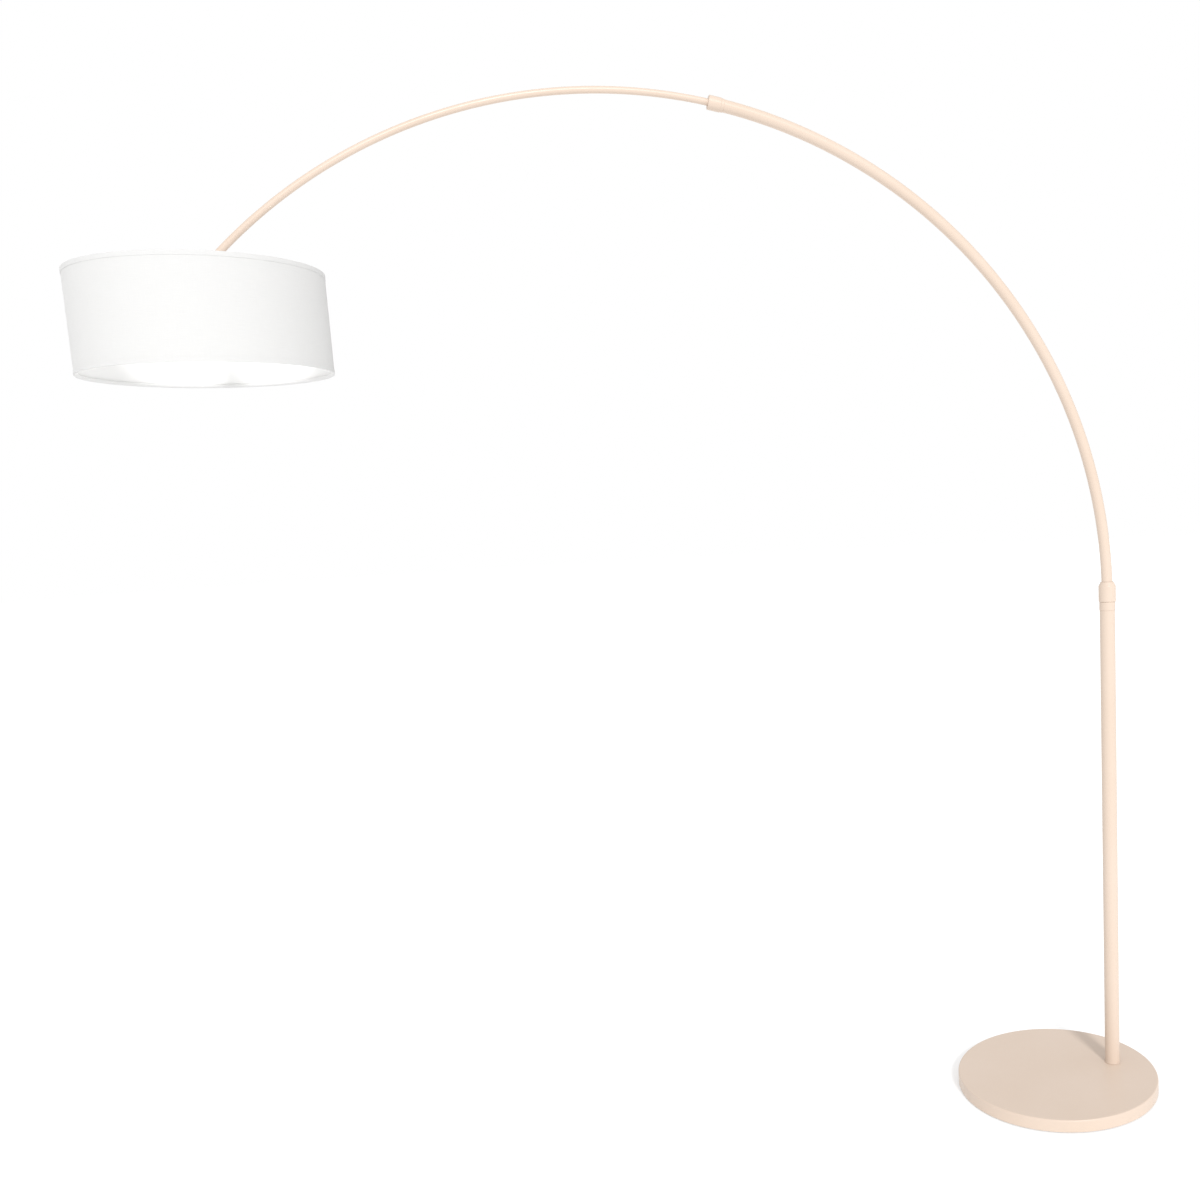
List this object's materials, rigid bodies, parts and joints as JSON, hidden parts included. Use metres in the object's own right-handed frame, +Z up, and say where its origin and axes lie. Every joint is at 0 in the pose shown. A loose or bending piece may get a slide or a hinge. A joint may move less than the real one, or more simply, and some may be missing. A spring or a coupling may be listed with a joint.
{
  "type": "arc floor lamp",
  "caption": "Arc floor lamp: weighted round base, pole with a turning collar, telescopic bent arm in powder-coated cream metal and a hanging white fabric drum shade.",
  "frame": {"origin": "centre of the round base, on the floor", "axes": "+Z up; the arm lies in the XZ plane, with the pole on the +X side of the base and the shade towards -X"},
  "size_m": [2.196, 0.475, 2.2749],
  "materials": {
    "cream_metal": "fine satin powder coat, pale peach cream",
    "cast_weight": "raw casting",
    "pad": "matt foam rubber",
    "white_plastic": "satin moulded",
    "ceramic": "glazed ceramic",
    "zinc_steel": "zinc plated",
    "brass": "pressed sheet",
    "lead_sheath": "smooth flexible sheath",
    "bulb_glass": "opal",
    "shade_fabric": "fine plain weave, white",
    "shade_liner": "smooth white film"
  },
  "bodies": {
    "stand": {"base_cover": "cream_metal", "base_weight": "cast_weight", "base_pad": "pad", "cable_gland": "white_plastic", "pole_foot_ring": "cream_metal", "pole_plug": "zinc_steel", "pole_stud": "zinc_steel", "pole_washer": "zinc_steel", "stud_nut": "zinc_steel", "pole_tube": "cream_metal", "pole_ferrule": "cream_metal", "pole_collet": "white_plastic", "stand_cable": "lead_sheath"},
    "pole_collar": {"pole_nut": "cream_metal"},
    "height_guide": {"guide_bush": "white_plastic"},
    "arm": {"arc_tube": "cream_metal", "bush_clips": "zinc_steel", "arc_ferrule": "cream_metal", "arc_collet": "white_plastic", "arc_cable": "lead_sheath"},
    "arm_collar": {"arc_nut": "cream_metal"},
    "rod": {"rod_tube": "cream_metal", "rod_guide": "white_plastic", "rod_end": "cream_metal", "knuckle_screw": "zinc_steel", "knuckle_nut": "zinc_steel", "knuckle_washers": "white_plastic", "rod_cable": "lead_sheath"},
    "head": {"knuckle_lug": "cream_metal", "holder_cap": "white_plastic", "holder_body": "white_plastic", "holder_insert": "ceramic", "holder_shell": "brass", "shade_ring_nut": "white_plastic", "head_cable": "lead_sheath", "bulb_cap": "zinc_steel", "bulb_glass": "bulb_glass", "shade_spider": "zinc_steel", "shade_bottom_ring": "zinc_steel", "shade_fabric": "shade_fabric", "shade_liner": "shade_liner", "shade_top_hem": "shade_fabric", "shade_bottom_hem": "shade_fabric"}
  },
  "joints": [
    {"name": "pole_collar_turn", "type": "hinge", "parent": "stand", "child": "pole_collar", "pos_m": [0.15, 0, 1.17], "axis": [0, 0, 1], "range_deg": [0, 180]},
    {"name": "height_slide", "type": "slide", "parent": "stand", "child": "height_guide", "axis": [0, 0, 1], "range_m": [0, 0.2]},
    {"name": "arm_swivel", "type": "hinge", "parent": "height_guide", "child": "arm", "pos_m": [0.15, 0, 1], "axis": [0, 0, 1], "range_deg": [-170, 170]},
    {"name": "arm_collar_turn", "type": "hinge", "parent": "arm", "child": "arm_collar", "pos_m": [-0.72136, 0, 2.24765], "axis": [-0.9812, 0, 0.1932], "range_deg": [0, 180]},
    {"name": "rod_telescope", "type": "hinge", "parent": "arm", "child": "rod", "pos_m": [-0.93, 0, 1.188], "axis": [0, -1, 0], "range_deg": [-12, 9]},
    {"name": "shade_tilt", "type": "hinge", "parent": "rod", "child": "head", "pos_m": [-1.73, 0, 1.91353], "axis": [0, 1, 0], "range_deg": [-35, 35]}
  ]
}
